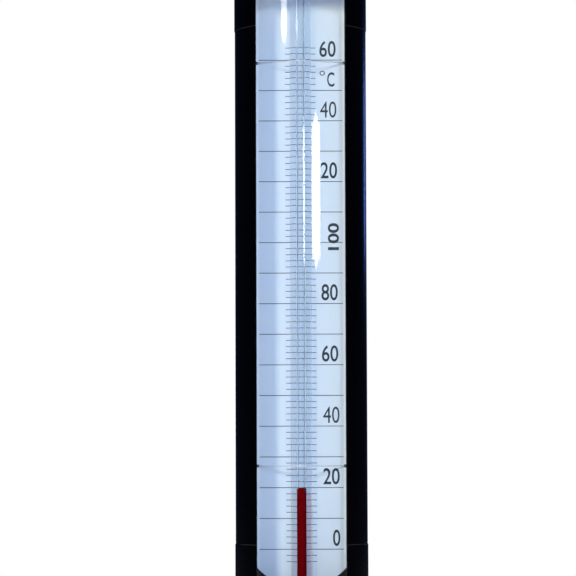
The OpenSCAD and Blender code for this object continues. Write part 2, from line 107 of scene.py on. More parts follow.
def mesh_of(bm, name, smooth_below=35.0):
    """Turns a bmesh in millimetres into a mesh in metres, smooth below an edge angle in degrees."""
    bmesh.ops.scale(bm, vec=(MM, MM, MM), verts=bm.verts)
    for face in bm.faces:
        face.smooth = True
    for edge in bm.edges:
        if len(edge.link_faces) == 2:
            edge.smooth = edge.calc_face_angle(0.0) < math.radians(smooth_below)
    mesh = bpy.data.meshes.new(name)
    bm.to_mesh(mesh)
    bm.free()
    return mesh


def turned(profile, segments=96, closed=True):
    """A turned body about Z from points of radius and height in millimetres."""
    bm = bmesh.new()
    points = [bm.verts.new((radius, 0, height)) for radius, height in profile]
    edges = [bm.edges.new(pair) for pair in zip(points, points[1:])]
    if closed:
        edges.append(bm.edges.new((points[-1], points[0])))
    bmesh.ops.spin(bm, geom=points + edges, cent=(0, 0, 0), axis=(0, 0, 1), dvec=(0, 0, 0),
                   angle=2 * math.pi, steps=segments, use_merge=True, use_duplicate=False)
    bmesh.ops.remove_doubles(bm, verts=bm.verts, dist=1e-5)
    bmesh.ops.recalc_face_normals(bm, faces=bm.faces)
    return bm


def merged_copy(node):
    """A copy of a node in millimetres, its loose triangles merged and its flat faces made whole."""
    bm = bmesh.new()
    bm.from_mesh(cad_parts[node].data)
    bmesh.ops.scale(bm, vec=(1000, 1000, 1000), verts=bm.verts)
    bmesh.ops.remove_doubles(bm, verts=bm.verts, dist=1e-4)
    bmesh.ops.dissolve_limit(bm, angle_limit=math.radians(0.6), use_dissolve_boundaries=False,
                             verts=bm.verts, edges=bm.edges)
    return bm


def eased(bm, width, sharper_than=32.0, shortest_edge=0.0005):
    """Breaks the sharp edges of a body with a small round, and closes the slivers that this leaves."""
    sharp = [edge for edge in bm.edges
             if len(edge.link_faces) == 2 and edge.calc_face_angle(0.0) > math.radians(sharper_than)]
    bmesh.ops.bevel(bm, geom=sharp, offset=width, offset_type="OFFSET", segments=2, profile=0.5,
                    affect="EDGES", clamp_overlap=True, material=-1)
    bmesh.ops.dissolve_degenerate(bm, edges=bm.edges, dist=shortest_edge)
    return bm


def common(first, second):
    """The common part of two closed bodies."""
    holders = []
    for bm in (first, second):
        mesh = bpy.data.meshes.new("spare")
        bm.to_mesh(mesh)
        bm.free()
        holders.append(bpy.data.objects.new("spare", mesh))
        bpy.context.scene.collection.objects.link(holders[-1])
    cut = holders[0].modifiers.new("cut", "BOOLEAN")
    cut.operation = "INTERSECT"
    cut.solver = "EXACT"
    cut.object = holders[1]
    mesh = bpy.data.meshes.new_from_object(holders[0].evaluated_get(bpy.context.evaluated_depsgraph_get()))
    for holder in holders:
        bpy.data.objects.remove(holder)
    result = bmesh.new()
    result.from_mesh(mesh)
    bpy.data.meshes.remove(mesh)
    return result


def arc(centre, radius, first, last, steps):
    """Points on an arc, its angles in degrees from the radius towards the height."""
    angles = [math.radians(first + (last - first) * i / steps) for i in range(steps + 1)]
    return [(centre[0] + radius * math.cos(a), centre[1] + radius * math.sin(a)) for a in angles]


def rod_along(points, thickness, closed=False, sides=2):
    """A round wire along points in millimetres."""
    data = bpy.data.curves.new("wire", "CURVE")
    data.dimensions = "3D"
    data.bevel_depth = thickness / 2
    data.bevel_resolution = sides
    data.use_fill_caps = True
    spline = data.splines.new("POLY")
    spline.points.add(len(points) - 1)
    for place, point in zip(points, spline.points):
        point.co = (*place, 1.0)
    spline.use_cyclic_u = closed
    spare = bpy.data.objects.new("wire", data)
    bpy.context.scene.collection.objects.link(spare)
    mesh = bpy.data.meshes.new_from_object(spare.evaluated_get(bpy.context.evaluated_depsgraph_get()))
    bpy.data.objects.remove(spare)
    bm = bmesh.new()
    bm.from_mesh(mesh)
    bpy.data.meshes.remove(mesh)
    return bm


def at_case(bm):
    """Moves a body from the Z axis to the case axis."""
    bmesh.ops.translate(bm, vec=(0, CASE_AXIS_Y, 0), verts=bm.verts)
    return bm


def along_stem(bm):
    """Turns a body from the Z axis to the stem's +Y axis."""
    bmesh.ops.rotate(bm, cent=(0, 0, 0), matrix=Matrix.Rotation(-math.pi / 2, 3, "X"), verts=bm.verts)
    return bm


def joined(*parts):
    """One bmesh from several, each a closed body of its own."""
    whole = bmesh.new()
    for part in parts:
        spare = bpy.data.meshes.new("spare")
        part.to_mesh(spare)
        part.free()
        whole.from_mesh(spare)
        bpy.data.meshes.remove(spare)
    return whole


# Materials


class Value:
    """A socket of a material's nodes. Sums, products and comparisons of values add Math nodes."""

    def __init__(self, tree, socket=None):
        self.tree = tree
        self.socket = socket

    def node(self, kind, settings=None, inputs=None, output=0):
        """Adds a node, with its settings first and then the values or links of its sockets."""
        made = self.tree.nodes.new("ShaderNode" + kind)
        for name, setting in (settings or {}).items():
            setattr(made, name, setting)
        for name, given in (inputs or {}).items():
            if isinstance(given, Value):
                self.tree.links.new(given.socket, made.inputs[name])
            else:
                made.inputs[name].default_value = given
        return Value(self.tree, made.outputs[output])

    def math(self, operation, *values):
        return self.node("Math", {"operation": operation}, dict(enumerate(values)))

    def __add__(self, other):
        return self.math("ADD", self, other)

    __radd__ = __add__

    def __mul__(self, other):
        return self.math("MULTIPLY", self, other)

    __rmul__ = __mul__

    def __sub__(self, other):
        return self.math("SUBTRACT", self, other)

    def __rsub__(self, other):
        return self.math("SUBTRACT", other, self)

    def __pow__(self, other):
        return self.math("POWER", self, other)

    def __gt__(self, other):
        return self.math("GREATER_THAN", self, other)

    def __lt__(self, other):
        return self.math("LESS_THAN", self, other)

    def ramp(self, low, high):
        """0 below low and 1 above high, with a smooth rise between them."""
        return self.node("MapRange", {"interpolation_type": "SMOOTHSTEP"},
                         {"Value": self, "From Min": low, "From Max": high})

    def mixed(self, first, second):
        """The first colour where this value is 0 and the second where it is 1."""
        return self.node("Mix", {"data_type": "RGBA"}, {0: self, 6: first, 7: second}, 2)

    def noise(self, scale, detail=2.0, roughness=0.5):
        """Noise read at this place."""
        return self.node("TexNoise", None,
                         {"Vector": self, "Scale": scale, "Detail": detail, "Roughness": roughness})

    def stretched(self, scale):
        """This place, scaled along each axis."""
        return self.node("Mapping", None, {"Vector": self, "Scale": scale})

    def parts(self):
        """The X, Y and Z of this place."""
        split = self.tree.nodes.new("ShaderNodeSeparateXYZ")
        self.tree.links.new(self.socket, split.inputs[0])
        return [Value(self.tree, output) for output in split.outputs]

    def bump(self, strength, distance):
        """A normal bumped by this height."""
        return self.node("Bump", None, {"Height": self, "Strength": strength, "Distance": distance})


def colour(r, g, b):
    return (r, g, b, 1.0)


def new_material(name):
    """An empty material, a value to start from, and the place on the object in metres."""
    material = bpy.data.materials.new(name)
    material.use_nodes = True
    material.node_tree.nodes.clear()
    start = Value(material.node_tree)
    return material, start, start.node("TexCoord", output="Object")


def shaded(material, start, **inputs):
    """Ends a material in one Principled shader."""
    names = {key.replace("_", " "): given for key, given in inputs.items()}
    end(start, start.node("BsdfPrincipled", None, names))
    return material


def end(start, surface):
    output = start.tree.nodes.new("ShaderNodeOutputMaterial")
    start.tree.links.new(surface.socket, output.inputs["Surface"])


def black_finish():
    """Satin black over brass, with fine grain and dust; the cut faces round the window are matt."""
    inside_radius, window_front, window_foot = 0.0132, -0.004, 0.02
    material, start, place = new_material("black_finish")
    grain = place.noise(9000.0, 2.0)
    cloud = place.noise(60.0, 4.0, 0.6)
    x, y, z = place.parts()
    dust = place.noise(900.0, 5.0, 0.75).ramp(0.62, 0.78)
    base = (dust * cloud * 0.5).mixed(colour(0.0003, 0.0003, 0.0008), colour(0.005, 0.0055, 0.008))
    depth = y - CASE_AXIS_Y * MM
    reach = (x * x + depth * depth) ** 0.5
    cut = (reach < inside_radius) * (depth < window_front) * (z > window_foot)
    return shaded(material, start, Base_Color=base, Roughness=0.15 + 0.06 * cloud + 0.04 * grain + 0.45 * cut,
                  Normal=(grain + 0.6 * cloud).bump(0.05, 0.00001), Specular_IOR_Level=0.12)


def metal(name, base, worn, roughness, brushed, along=(1.0, 1.0, 1.0), metallic=1.0):
    """A turned or drawn metal: fine marks round or along it, and a slightly duller tone in clouds."""
    material, start, place = new_material(name)
    marks = place.stretched(along).noise(brushed, 3.0, 0.6)
    cloud = place.noise(45.0, 4.0, 0.65)
    stain = place.noise(300.0, 4.0, 0.7).ramp(0.5, 0.75)
    tone = (0.5 * cloud + 0.2 * stain).mixed(colour(*base), colour(*worn))
    return shaded(material, start, Base_Color=tone, Metallic=metallic,
                  Roughness=roughness - 0.06 + 0.14 * marks + 0.06 * stain,
                  Normal=marks.bump(0.12, 0.00004))


def soft(name, base, other, roughness, scale, depth):
    """Rubber, packing or paste: matt, with a fine uneven grain."""
    material, start, place = new_material(name)
    grain = place.noise(scale, 4.0, 0.6)
    cloud = place.noise(120.0, 3.0, 0.5)
    tone = (0.6 * cloud + 0.4 * grain).mixed(colour(*base), colour(*other))
    return shaded(material, start, Base_Color=tone, Roughness=roughness + 0.12 * grain,
                  Normal=grain.bump(0.35, depth))


def thin_glass():
    """The envelope's thin wall: see-through and mirrored by the angle; where it is seen edge on, a
    see-through colour above one lightens what lies behind it, a painted glow.
    """
    material, start, place = new_material("clear_envelope")
    ripple = place.stretched((1.0, 1.0, 0.15)).noise(120.0, 2.0)
    haze = place.noise(35.0, 4.0, 0.6)
    normal = ripple.bump(0.004, 0.00003)
    facing = start.node("LayerWeight", None, {"Blend": 0.5}, 1)
    front = 1.0 - start.node("NewGeometry", output="Backfacing")
    clear = start.node("BsdfTransparent", None, {"Color": colour(0.985, 0.99, 0.997)})
    # painted glow: this see-through colour above one brightens the plate behind the envelope's edges
    bright = start.node("BsdfTransparent", None, {"Color": colour(1.22, 1.19, 1.15)})
    painted_glow_mask = 0.9 * front * facing.ramp(0.43, 0.53)
    wall = start.node("MixShader", None, {0: painted_glow_mask, 1: clear, 2: bright})
    gloss = start.node("BsdfAnisotropic", None,
                       {"Color": colour(1, 1, 1), "Roughness": 0.02, "Normal": normal})
    mirror = (0.04 + 0.80 * facing ** 5.0) * front
    glass = start.node("MixShader", None, {0: mirror * (0.9 + 0.1 * haze), 1: wall, 2: gloss})
    from_lamp = start.node("LightPath", output="Is Shadow Ray")
    end(start, start.node("MixShader", None, {0: from_lamp, 1: glass, 2: clear}))
    return material


def solid_glass():
    """Drawn capillary glass: it bends what is seen through it, and lets the lamps through."""
    material, start, place = new_material("clear_capillary")
    ripple = place.stretched((1.0, 1.0, 0.1)).noise(200.0, 2.0)
    body = start.node("BsdfGlass", None, {"Color": colour(0.985, 0.993, 1.0), "Roughness": 0.0, "IOR": 1.46,
                                         "Normal": ripple.bump(0.0008, 0.00002)})
    clear = start.node("BsdfTransparent", None, {"Color": colour(0.79, 0.83, 0.88)})
    from_light = start.math("MAXIMUM", start.node("LightPath", output="Is Shadow Ray"),
                            start.node("LightPath", output="Is Diffuse Ray"))
    end(start, start.node("MixShader", None, {0: from_light, 1: body, 2: clear}))
    return material


def opal_plate(look):
    """Opal glass with dark blue paint in the engraved lines."""
    material, start, place = new_material("opal_plate")
    x, y, z = place.parts()
    least, most = 0.00003, 0.00015
    sunk = (y > look.plate_front + least) * (y < look.plate_front + most)
    cloud = place.noise(25.0, 3.0, 0.6)
    speck = place.noise(1500.0, 3.0, 0.7).ramp(0.66, 0.8)
    paper = (0.5 * cloud).mixed(colour(*look.plate_colour), colour(*(0.93 * c for c in look.plate_colour)))
    paper = (0.25 * speck).mixed(paper, colour(*(0.72 * c for c in look.plate_colour)))
    ink = sunk.mixed(paper, colour(*look.line_colour))
    return shaded(material, start, Base_Color=ink, Roughness=0.34 + 0.08 * cloud,
                  Normal=cloud.bump(0.05, 0.00005), Coat_Weight=0.1)


def printed(name, tone):
    """Dark blue figures, a little uneven as stoved paint is."""
    material, start, place = new_material(name)
    worn = place.noise(2500.0, 3.0, 0.6)
    base = worn.mixed(colour(*(0.8 * c for c in tone)), colour(*(1.35 * c for c in tone)))
    return shaded(material, start, Base_Color=base, Roughness=0.45 + 0.1 * worn,
                  Normal=worn.bump(0.1, 0.00001))


def liquid(name, tone):
    """Dyed liquid in its bore; the light that passes it turns pink."""
    material, start, place = new_material(name)
    cloud = place.noise(400.0, 2.0)
    base = cloud.mixed(colour(*tone), colour(*(0.8 * c for c in tone)))
    body = start.node("BsdfPrincipled", None,
                      {"Base Color": base, "Roughness": 0.30 + 0.06 * cloud,
                       "Normal": cloud.bump(0.04, 0.00002), "Specular IOR Level": 0.0})
    dyed = start.node("BsdfTransparent", None, {"Color": colour(1.0, 0.62, 0.66)})
    from_lamp = start.node("LightPath", output="Is Shadow Ray")
    end(start, start.node("MixShader", None, {0: from_lamp, 1: body, 2: dyed}))
    return material


# The parts' own values


class ScaleLook(bpy.types.PropertyGroup):
    """Places, sizes and colours of the scale."""
    zero_height: FloatProperty(name="Zero line", description="Height of the zero line", default=0.036,
                               unit="LENGTH")
    degree: FloatProperty(name="Degree", description="Height of one degree on the scale",
                          default=0.000625, precision=6, unit="LENGTH")
    plate_front: FloatProperty(name="Plate front", description="Place of the plate's front face",
                               default=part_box("scale_plate")[0].y, unit="LENGTH")
    figure_height: FloatProperty(name="Figure height", description="Height of the figures",
                                 default=0.00335, precision=5, unit="LENGTH")
    figure_width: FloatProperty(name="Figure width", description="Width of a figure of two digits",
                                default=0.00335, precision=5, unit="LENGTH")
    plate_colour: FloatVectorProperty(name="Plate", description="Colour of the opal plate", subtype="COLOR",
                                      default=(0.68, 0.82, 0.99))
    ink_colour: FloatVectorProperty(name="Ink", description="Colour of the figures", subtype="COLOR",
                                    default=(0.012, 0.022, 0.048))
    line_colour: FloatVectorProperty(name="Lines", description="Colour of the filled lines", subtype="COLOR",
                                     default=(0.075, 0.105, 0.165))


class ColumnLook(bpy.types.PropertyGroup):
    """Size and colour of the liquid column."""
    radius: FloatProperty(name="Column radius", description="Radius of the liquid in the bore",
                          default=0.000655, precision=6, unit="LENGTH")
    tone: FloatVectorProperty(name="Liquid", description="Colour of the liquid", subtype="COLOR",
                              default=(0.17, 0.0, 0.001))


class NippleSizes(bpy.types.PropertyGroup):
    """Sizes of the threaded nipple."""
    pitch: FloatProperty(name="Pitch", description="Thread pitch", default=0.001814, precision=6,
                         unit="LENGTH")
    depth: FloatProperty(name="Thread depth", description="Depth of the thread's form",
                         default=0.00116, precision=6, unit="LENGTH")
    turn_steps: IntProperty(name="Steps a turn", description="Faces in one turn of the thread", default=72)


class StudioLevels(bpy.types.PropertyGroup):
    """Levels of the studio's lamps and world."""
    ambient: FloatProperty(name="Ambient", description="Level of the world's soft light", default=0.71)
    softbox: FloatProperty(name="Softbox", description="Radiance of the main softbox", default=145.0)
    fill: FloatProperty(name="Fill", description="Radiance of the cooler softbox over the camera",
                        default=172.0)
    overhead: FloatProperty(name="Overhead", description="Radiance of the wide lamp above", default=3.5)
    strips: FloatProperty(name="Strips", description="Radiance of the two strips beside the camera",
                          default=11.0)
    rim: FloatProperty(name="Rim", description="Radiance of the strip behind the case", default=10.0)


# The stage


def lamp(name, azimuth, elevation, distance, width, height, radiance, tint=(1.0, 1.0, 1.0),
         aim_height=0.09, shape="RECTANGLE", mirrored=True):
    """A flat lamp that faces the case axis, from an azimuth in degrees to the right of the camera."""
    data = bpy.data.lights.new(name, "AREA")
    data.shape = shape
    data.size = width
    data.size_y = height
    data.color = tint
    area = width * height * (1.0 if shape == "RECTANGLE" else math.pi / 4)
    data.energy = radiance * math.pi * area
    made = bpy.data.objects.new(name, data)
    bpy.context.scene.collection.objects.link(made)
    a, e = math.radians(azimuth), math.radians(elevation)
    way = Vector((math.sin(a) * math.cos(e), -math.cos(a) * math.cos(e), math.sin(e)))
    made.location = Vector((0, CASE_AXIS_Y * MM, aim_height)) + distance * way
    made.rotation_euler = way.to_track_quat("Z", "Y").to_euler()
    made.visible_transmission = False
    made.visible_glossy = mirrored
    return made


def lay_floor():
    """A pale round floor that fades to white, for the camera, towards its edge."""
    bm = bmesh.new()
    bmesh.ops.create_circle(bm, cap_ends=True, radius=0.95, segments=128)
    bmesh.ops.translate(bm, vec=(0, 0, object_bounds()[0].z - 0.00005), verts=bm.verts)
    mesh = bpy.data.meshes.new("floor")
    bm.to_mesh(mesh)
    bm.free()
    material, start, place = new_material("pale_floor")
    x, y, z = place.parts()
    reach = (x * x + y * y) ** 0.5
    fade = reach.ramp(0.35, 0.9)
    tone = place.noise(14.0, 3.0).mixed(colour(0.94, 0.89, 0.75), colour(0.96, 0.91, 0.77))
    # painted dark reflection: seen in gloss, the floor turns near black farther than a fifth of a metre from
    # the case
    painted_dark_reflection = 0.9 * (start.node("LightPath", output="Is Glossy Ray") * reach.ramp(0.20, 0.42))
    matt = start.node("BsdfPrincipled", None,
                      {"Base Color": painted_dark_reflection.mixed(tone, colour(0.02, 0.02, 0.03)), "Roughness": 0.6})
    bright = start.node("Emission", None, {"Color": colour(1, 1, 1), "Strength": 1.0})
    seen = start.node("LightPath", output="Is Camera Ray")
    end(start, start.node("MixShader", None, {0: fade * seen, 1: matt, 2: bright}))
    mesh.materials.append(material)
    floor = bpy.data.objects.new("floor", mesh)
    bpy.context.scene.collection.objects.link(floor)
    floor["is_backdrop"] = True


def set_world(levels):
    """White for the camera and through glass, a dark to bright sky in gloss, and soft light elsewhere."""
    world = bpy.data.worlds.new("studio")
    bpy.context.scene.world = world
    world.use_nodes = True
    world.node_tree.nodes.clear()
    start = Value(world.node_tree)
    x, y, z = start.node("TexCoord", output="Generated").parts()
    direct = start.node("LightPath", output="Is Camera Ray") + \
        start.node("LightPath", output="Is Transmission Ray")
    glossy = start.node("LightPath", output="Is Glossy Ray")
    mirror = z.ramp(0.28, 0.70).mixed(colour(0.008, 0.012, 0.030), colour(0.85, 0.88, 0.95))
    soft_light = colour(levels.ambient * 0.255, levels.ambient * 0.41, levels.ambient)
    light = direct.mixed(glossy.mixed(soft_light, mirror), colour(1, 1, 1))
    shader = start.node("Background", None, {"Color": light, "Strength": 1.0})
    output = world.node_tree.nodes.new("ShaderNodeOutputWorld")
    world.node_tree.links.new(shader.socket, output.inputs["Surface"])


def hang_lamps(levels):
    """The softboxes, the lamp above, the strips that the glass mirrors, and the rim light behind."""
    lamp("softbox", -22.0, 27.0, 1.5, 0.16, 0.16, levels.softbox, (1.0, 0.866, 0.545))
    lamp("fill", 6.0, 28.5, 1.5, 0.10, 0.10, levels.fill, (0.80, 0.95, 1.0))
    lamp("overhead", 0.0, 88.0, 1.6, 0.9, 0.9, levels.overhead, (1.0, 0.88, 0.50), mirrored=False)
    lamp("left_strip", -38.0, 11.0, 0.8, 0.20, 0.10, levels.strips, aim_height=0.1526)
    lamp("left_strip_end", -38.0, 11.0, 0.8, 0.20, 0.016, levels.strips, aim_height=0.1018, shape="ELLIPSE")
    lamp("right_strip", 36.0, 5.2, 0.6, 0.21, 0.055, levels.strips, aim_height=0.1065)
    lamp("right_strip_end", 36.0, 5.2, 0.601, 0.21, 0.063, levels.strips, aim_height=0.1065, shape="ELLIPSE")
    lamp("back_rim", 152.0, 5.2, 0.9, 0.04, 0.09, levels.rim, (0.12, 0.26, 1.0), aim_height=0.1224)


def set_camera():
    """The camera of the photo, its place in millimetres and its turn in radians."""
    place = Vector((-0.952, -636.0, 55.747))
    yaw, pitch, roll = -0.00282162, 0.0556036, -0.0030122
    data = bpy.data.cameras.new("camera")
    data.sensor_width = 36.0
    data.lens = 184.16
    data.clip_start = 0.01
    data.clip_end = 20.0
    camera = bpy.data.objects.new("camera", data)
    bpy.context.scene.collection.objects.link(camera)
    ahead = Vector((math.sin(yaw) * math.cos(pitch), math.cos(yaw) * math.cos(pitch), math.sin(pitch)))
    right = Vector((math.cos(yaw), -math.sin(yaw), 0.0))
    up = right.cross(ahead)
    tilted_right = math.cos(roll) * right + math.sin(roll) * up
    tilted_up = math.cos(roll) * up - math.sin(roll) * right
    turn = Matrix((tilted_right, tilted_up, -ahead)).transposed()
    camera.matrix_world = Matrix.Translation(place * MM) @ turn.to_4x4()
    bpy.context.scene.camera = camera


class THERMOMETER_OT_stage(bpy.types.Operator):
    """Sets the floor, the studio light, the world and the camera"""
    bl_idname = "thermometer.stage"
    bl_label = "Stage"

    def execute(self, context):
        levels = context.scene.thermometer_studio
        scene = context.scene
        scene.view_settings.view_transform = "Standard"
        scene.cycles.transparent_max_bounces = 24
        lay_floor()
        set_world(levels)
        hang_lamps(levels)
        set_camera()
        return {"FINISHED"}


# The groups


def coil_spring(steel):
    """The pressure spring, with closed ends, as long and as wide as its node."""
    low, high = (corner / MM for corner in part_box("pressure_spring"))
    wire, dead, turns, steps = 0.9, 0.6, 2.75, 132
    mean = (high.x - low.x - wire) / 2
    rise = high.z - low.z - wire
    points = []
    for step in range(steps + 1):
        turn = turns * step / steps
        share = min(max((turn - dead) / (turns - 2 * dead), 0.0), 1.0)
        points.append((mean * math.cos(2 * math.pi * turn), mean * math.sin(2 * math.pi * turn),
                       low.z + wire / 2 + rise * share))
    coil = at_case(rod_along(points, wire, sides=4))
    piece("coil_spring", mesh_of(coil, "coil_spring"), "cap", steel, ("pressure_spring",))


def ribbed(radius, foot, head):
    """The outer side of a moulded ring from foot to head, with two shallow grooves."""
    chamfer, groove = 0.3, 0.25
    mouth, floor = 0.45, 0.2
    side = [(radius - chamfer, foot), (radius, foot + chamfer)]
    for share in (0.36, 0.66):
        middle = foot + (head - foot) * share
        side += [(radius, middle - mouth), (radius - groove, middle - floor),
                 (radius - groove, middle + floor), (radius, middle + mouth)]
    return side


def lower_ring(rubber):
    """The cushion under the envelope, hollowed for the round foot of the glass."""
    low, high = (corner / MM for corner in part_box("lower_cushion"))
    outer = (high.x - low.x) / 2
    foot_centre, foot_radius = (3.8, 27.2), 6.5
    rim = math.degrees(math.asin((high.z - foot_centre[1]) / foot_radius))
    seat = arc(foot_centre, foot_radius, rim, -87.4, 12)
    profile = ribbed(outer, low.z, high.z) + [(outer, high.z)] + seat + [(seat[-1][0], low.z)]
    piece("lower_ring", mesh_of(at_case(turned(profile)), "lower_ring"), "case", rubber,
          ("lower_cushion",))


def top_pad(rubber):
    """The cushion over the envelope, hollowed for the dome of the glass."""
    low, high = (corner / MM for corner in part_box("top_cushion"))
    outer = (high.x - low.x) / 2
    dome_radius, dome_drop, chamfer = 10.3, 5.0, 0.3
    rim = math.degrees(math.asin(dome_drop / dome_radius))
    seat = arc((0, low.z - dome_drop), dome_radius, 90.0, rim, 14)
    profile = seat + ribbed(outer, low.z, high.z)
    profile += [(outer, high.z - chamfer), (outer - chamfer, high.z), (0, high.z)]
    piece("top_pad", mesh_of(at_case(turned(profile, closed=False)), "top_pad"), "cap", rubber,
          ("top_cushion",))


class THERMOMETER_OT_case(bpy.types.Operator):
    """Finishes the case tube, its fittings, caps and screws"""
    bl_idname = "thermometer.case"
    bl_label = "Case"

    def execute(self, context):
        black = black_finish()
        for name, body in (("case_tube", "case"), ("elbow_front", "case"), ("elbow_rear", "case"),
                           ("bottom_cap", "case"), ("top_cap", "cap")):
            paint(name, black)
            shell = eased(merged_copy(name), 0.12)
            finished = piece("eased_" + name, mesh_of(shell, "eased_" + name), body, black,
                             (name,))
            finished.modifiers.new("normals", "WEIGHTED_NORMAL").keep_sharp = True
        paint("case_screws", metal("screw_steel", (0.62, 0.63, 0.65), (0.45, 0.45, 0.46), 0.28, 900.0))
        spring_steel = metal("spring_steel", (0.55, 0.55, 0.57), (0.36, 0.35, 0.34), 0.3, 1200.0)
        rubber = soft("dark_rubber", (0.022, 0.021, 0.020), (0.050, 0.047, 0.044), 0.55, 3000.0, 0.00003)
        paint("pressure_spring", spring_steel)
        for name in ("lower_cushion", "top_cushion"):
            paint(name, rubber)

        coil_spring(spring_steel)
        lower_ring(rubber)
        top_pad(rubber)
        packing = soft("white_packing", (0.80, 0.79, 0.75), (0.88, 0.87, 0.84), 0.6, 2200.0, 0.00003)
        for name in ("plate_pad", "carrier_seal"):
            paint(name, packing)
        return {"FINISHED"}


def twisted_wire(node, material):
    """A tie wire of two twisted strands, round the plate and over the capillary's front."""
    low, high = (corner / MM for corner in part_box(node))
    strand, gap, inset = 0.11, 0.09, 0.1
    step, twist, sway, bend_steps = 0.4, 0.9, 0.07, 16
    front_of_plate, back_of_plate = (corner.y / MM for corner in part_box("scale_plate"))
    half, back = high.x - inset, back_of_plate + gap
    corner = Vector((half, front_of_plate - gap))
    middle = Vector((0.0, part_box("capillary")[0].y / MM + CAPILLARY_RADIUS))
    radius = CAPILLARY_RADIUS + gap
    away = corner - middle
    first = math.atan2(away.y, away.x) - math.acos(radius / away.length)
    front = [(radius * math.cos(a), middle.y + radius * math.sin(a))
             for a in (first + (-math.pi - 2 * first) * i / bend_steps for i in range(bend_steps + 1))]
    path = []
    ends = [(half, back), (half, corner.y), *front, (-half, corner.y), (-half, back), (half, back)]
    for (x0, y0), (x1, y1) in zip(ends, ends[1:]):
        steps = max(1, round(math.hypot(x1 - x0, y1 - y0) / step))
        path += [(x0 + (x1 - x0) * i / steps, y0 + (y1 - y0) * i / steps) for i in range(steps)]
    level = (low.z + high.z) / 2
    strands = []
    for turn in (0.0, math.pi):
        points = [(px, py, level + sway * math.sin(twist * i + turn)) for i, (px, py) in enumerate(path)]
        strands.append(rod_along(points, strand, closed=True))
    piece("twisted_" + node, mesh_of(joined(*strands), "twisted_" + node), "case", material,
          (node,))


class THERMOMETER_OT_glass(bpy.types.Operator):
    """Finishes the glass envelope, the leg, the bulb and the capillary"""
    bl_idname = "thermometer.glass"
    bl_label = "Glass"

    def execute(self, context):
        envelope = thin_glass()
        drawn = solid_glass()
        for name in ("glass_envelope", "glass_leg"):
            paint(name, envelope)
        for name in ("capillary", "leg_capillary", "bulb", "plate_saddle"):
            paint(name, drawn)
        wire = metal("tie_wire", (0.66, 0.70, 0.80), (0.54, 0.58, 0.68), 0.45, 2500.0, metallic=0.2)
        for name in ("upper_tie_wire", "lower_tie_wire"):
            paint(name, wire)
            twisted_wire(name, wire)
        return {"FINISHED"}


class THERMOMETER_OT_scale(bpy.types.Operator):
    """Finishes the opal plate and sets its figures"""
    bl_idname = "thermometer.scale"
    bl_label = "Scale"

    def execute(self, context):
        look = context.scene.thermometer_scale
        paint("scale_plate", opal_plate(look))
        ink = printed("figure_paint", look.ink_colour)
        thickness, sunk = 0.03, 0.01

        def figure(name, text, centre, z, width, height, turn=0.0, weight=0.0):
            """A word or number on the plate, its middle at centre and z, all in millimetres."""
            data = bpy.data.curves.new("figure", "FONT")
            data.body = text
            data.size = 1.0
            data.align_x = "CENTER"
            data.offset = weight
            data.resolution_u = 4
            spare = bpy.data.objects.new("figure", data)
            context.scene.collection.objects.link(spare)
            flat = bpy.data.meshes.new_from_object(spare.evaluated_get(context.evaluated_depsgraph_get()))
            bpy.data.objects.remove(spare)
            bm = bmesh.new()
            bm.from_mesh(flat)
            bpy.data.meshes.remove(flat)
            bmesh.ops.remove_doubles(bm, verts=bm.verts, dist=1e-6)
            low = [min(v.co[i] for v in bm.verts) for i in range(3)]
            high = [max(v.co[i] for v in bm.verts) for i in range(3)]
            bmesh.ops.translate(bm, vec=[-(a + b) / 2 for a, b in zip(low, high)], verts=bm.verts)
            stretch = (width / (high[0] - low[0]), height / (high[1] - low[1]), 1.0)
            bmesh.ops.scale(bm, vec=stretch, verts=bm.verts)
            grown = bmesh.ops.extrude_face_region(bm, geom=bm.faces[:])
            risen = [v for v in grown["geom"] if isinstance(v, bmesh.types.BMVert)]
            bmesh.ops.translate(bm, vec=(0, 0, thickness), verts=risen)
            bmesh.ops.recalc_face_normals(bm, faces=bm.faces)
            stand = Euler((math.pi / 2, 0, 0)).to_matrix() @ Euler((0, 0, turn)).to_matrix()
            bmesh.ops.rotate(bm, cent=(0, 0, 0), matrix=stand, verts=bm.verts)
            bmesh.ops.translate(bm, vec=(centre, look.plate_front / MM + sunk, z), verts=bm.verts)
            piece(name, mesh_of(bm, name), "case", ink)

        def line(degrees):
            return (look.zero_height + degrees * look.degree) / MM

        wide, tall, above_line = look.figure_width / MM, look.figure_height / MM, 2.3
        for degrees, text, centre in ((20, "20", 6.1), (40, "40", 6.1), (60, "60", 5.9), (80, "80", 5.85),
                                      (120, "20", 5.8), (140, "40", 5.7), (160, "60", 5.6)):
            figure("figure_%d" % degrees, text, centre, line(degrees) + above_line, wide, tall,
                   weight=0.0 if "4" in text else 0.010)
        figure("figure_0", "0", 7.1, line(0) + above_line, 1.5, tall, weight=0.010)
        figure("figure_100", "100", 6.67, line(100) + 1.2, 5.55, 2.3, turn=math.pi / 2, weight=0.024)
        figure("degree_sign", "o", 4.5, line(160) - 2.7, 1.1, 1.0)
        figure("figure_C", "C", 6.25, line(160) - 4.0, 1.5, 3.0, weight=0.01)
        return {"FINISHED"}


